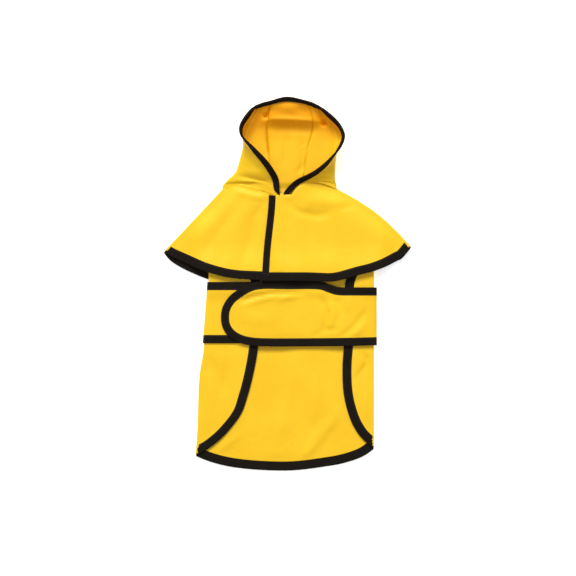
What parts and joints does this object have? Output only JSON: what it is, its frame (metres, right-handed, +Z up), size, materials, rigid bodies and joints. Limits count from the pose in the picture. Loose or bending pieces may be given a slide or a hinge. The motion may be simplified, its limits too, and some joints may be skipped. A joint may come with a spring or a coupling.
{
  "type": "dog raincoat",
  "caption": "Hooded dog raincoat laid flat on its back, belly side up: shoulder cape, wrap belly band, side flaps and rounded hem, all edges bound.",
  "frame": {"origin": "on the surface that the coat lies on, at the middle of its box", "axes": "+Z up, out of the belly side; +Y from the hem towards the hood; +X towards the side whose flap carries the over half of the belly band"},
  "size_m": [0.3473, 0.5215, 0.0343],
  "materials": {
    "coated_fabric": "yellow rain-proof coated woven fabric, soft satin sheen",
    "binding": "matte black woven bias binding"
  },
  "bodies": {
    "root": {"back_panel": "coated_fabric", "back_edge_binding": "binding", "belly_band_left": "coated_fabric", "belly_band_left_top_binding": "binding", "belly_band_left_lower_binding": "binding", "belly_band_right": "coated_fabric", "belly_band_right_binding": "binding", "capelet": "coated_fabric", "capelet_hem_binding": "binding", "capelet_front_binding": "binding", "hood_left": "coated_fabric", "hood_centre": "coated_fabric", "hood_right": "coated_fabric", "hood_rim_binding": "binding"}
  },
  "joints": []
}
